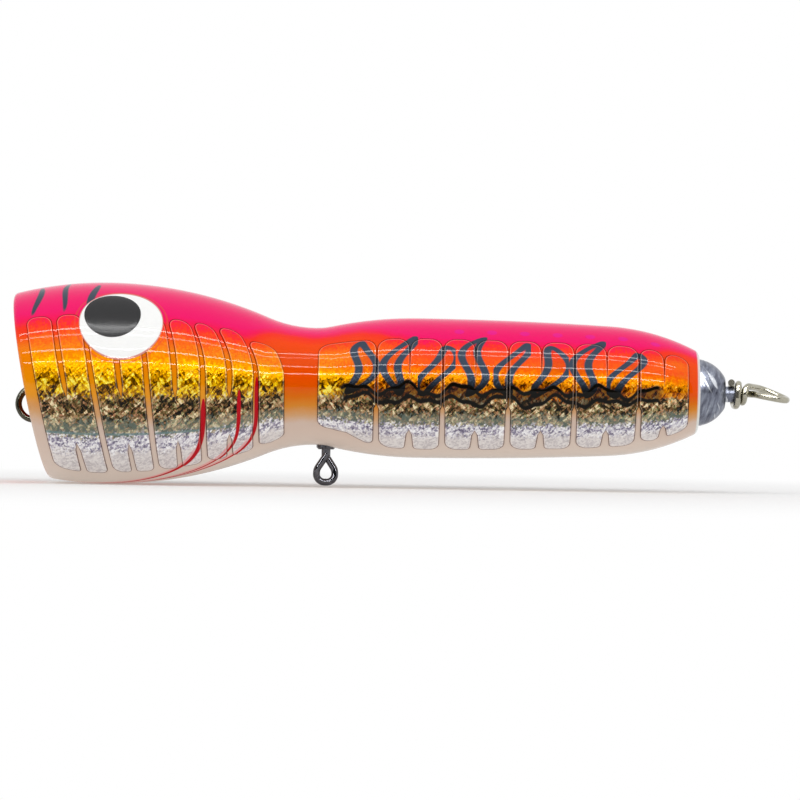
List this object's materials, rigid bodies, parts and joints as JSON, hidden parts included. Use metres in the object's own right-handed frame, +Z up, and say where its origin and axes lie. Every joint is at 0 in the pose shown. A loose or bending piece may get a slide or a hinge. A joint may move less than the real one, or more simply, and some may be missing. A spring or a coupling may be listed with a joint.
{
  "type": "topwater popper",
  "caption": "Big-game topwater popper with a dished mouth, slit foil flanks, a through-wire with tow and tail eyes, a lead tail and a swivelling belly eye.",
  "frame": {"origin": "the centre of the tow eye in the cupped mouth", "axes": "+X from the mouth to the tail, +Z up to the back, Y across; the two halves of the body meet at Y = 0"},
  "size_m": [0.1963, 0.0512, 0.0508],
  "materials": {
    "lacquered_body": "airbrushed from magenta back through orange to a pale belly, under a thick gloss clear coat",
    "crinkled_foil": "crinkled reflective foil, tinted with the paint and under the same clear coat",
    "eye_white": "gloss white",
    "eye_black": "gloss black",
    "stainless_wire": "drawn stainless",
    "stainless_washer": "satin stainless",
    "cast_lead": "cast lead, filed and a little scratched",
    "black_nickel": "glossy black nickel plate"
  },
  "bodies": {
    "lure": {"body_left_half": "lacquered_body", "body_right_half": "lacquered_body", "head_foil_left": "crinkled_foil", "head_foil_right": "crinkled_foil", "flank_foil_left": "crinkled_foil", "flank_foil_right": "crinkled_foil", "eye_disc_left": "eye_white", "eye_disc_right": "eye_white", "pupil_left": "eye_black", "pupil_right": "eye_black", "through_wire": "stainless_wire", "nose_washer": "stainless_washer", "tail_weight": "cast_lead", "ballast_front": "cast_lead", "ballast_rear": "cast_lead", "swivel_barrel": "black_nickel", "swivel_upper_eye": "black_nickel"},
    "hook_eye": {"swivel_lower_eye": "black_nickel"}
  },
  "joints": [
    {"name": "swivel_spin", "type": "hinge", "parent": "lure", "child": "hook_eye", "pos_m": [0.0738, 0, -0.0102], "axis": [0, 0, 1], "continuous": true}
  ]
}
